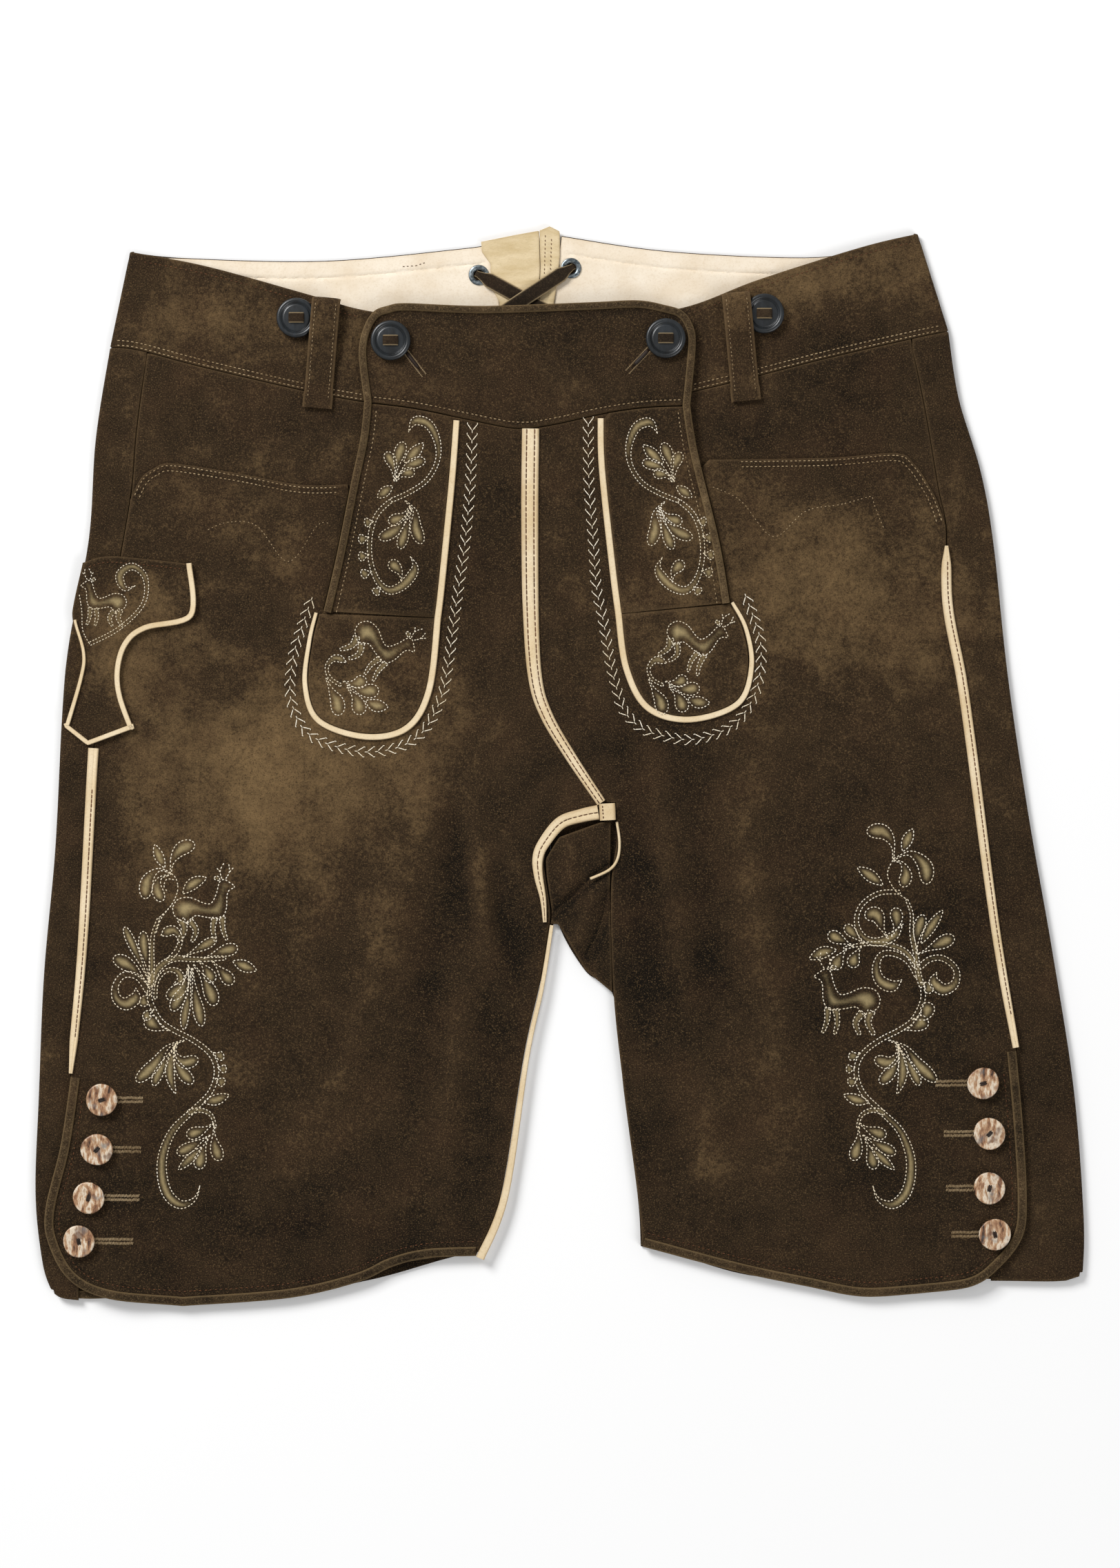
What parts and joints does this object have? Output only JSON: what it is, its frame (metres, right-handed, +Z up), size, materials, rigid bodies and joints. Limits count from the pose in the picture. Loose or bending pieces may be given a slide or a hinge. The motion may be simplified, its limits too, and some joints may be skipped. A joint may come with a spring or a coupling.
{
  "type": "lederhosen",
  "caption": "Leather shorts with a buttoned drop-front flap, cream piping and stitched vines, lying flat on their back.",
  "frame": {"origin": "middle of the garment's outline, on the surface it lies on", "axes": "+Z up from the surface, +Y towards the waist, +X to the wearer's left leg"},
  "size_m": [0.6094, 0.6271, 0.0155],
  "materials": {
    "brown_suede": "matte napped suede",
    "edge_binding": "matte suede, worn pale on the roll",
    "cream_piping": "matte smooth leather",
    "pale_lining": "matte chamois",
    "lace_suede": "matte suede strip",
    "dark_button": "satin, blue-black",
    "stag_horn": "polished horn, streaked",
    "eyelet_metal": "satin metal"
  },
  "bodies": {
    "root": {"back_left": "brown_suede", "back_right": "brown_suede", "waistband_left": "brown_suede", "waistband_right": "brown_suede", "waist_lining_left": "pale_lining", "waist_lining_right": "pale_lining", "lace_insert": "pale_lining", "lace_insert_edge": "pale_lining", "eyelet_upper_left": "eyelet_metal", "eyelet_upper_right": "eyelet_metal", "eyelet_lower_left": "eyelet_metal", "eyelet_lower_right": "eyelet_metal", "lace_under": "lace_suede", "lace_over": "lace_suede", "pocket_facing_left": "brown_suede", "pocket_facing_right": "brown_suede", "front_left": "brown_suede", "front_right": "brown_suede", "flap_band": "brown_suede", "flap_strip_left": "brown_suede", "tab_left": "brown_suede", "u_piping_left": "cream_piping", "flap_strip_right": "brown_suede", "tab_right": "brown_suede", "u_piping_right": "cream_piping", "flap_binding": "edge_binding", "centre_piping": "cream_piping", "crotch_gusset": "brown_suede", "gusset_piping": "cream_piping", "crotch_crosspiece": "cream_piping", "crotch_thin_piping": "cream_piping", "inseam_piping": "cream_piping", "side_piping_left": "cream_piping", "side_piping_right": "cream_piping", "hem_binding_front_left": "edge_binding", "hem_binding_back_left": "edge_binding", "hem_binding_front_right": "edge_binding", "hem_binding_back_right": "edge_binding", "knife_pocket": "brown_suede", "knife_pocket_piping": "cream_piping", "brace_button_left": "dark_button", "brace_thong_left": "lace_suede", "flap_button_left": "dark_button", "flap_thong_left": "lace_suede", "leg_button_left_1": "stag_horn", "leg_button_left_2": "stag_horn", "leg_button_left_3": "stag_horn", "leg_button_left_4": "stag_horn", "belt_loop_left": "brown_suede", "brace_button_right": "dark_button", "brace_thong_right": "lace_suede", "flap_button_right": "dark_button", "flap_thong_right": "lace_suede", "leg_button_right_1": "stag_horn", "leg_button_right_2": "stag_horn", "leg_button_right_3": "stag_horn", "leg_button_right_4": "stag_horn", "belt_loop_right": "brown_suede"}
  },
  "joints": []
}
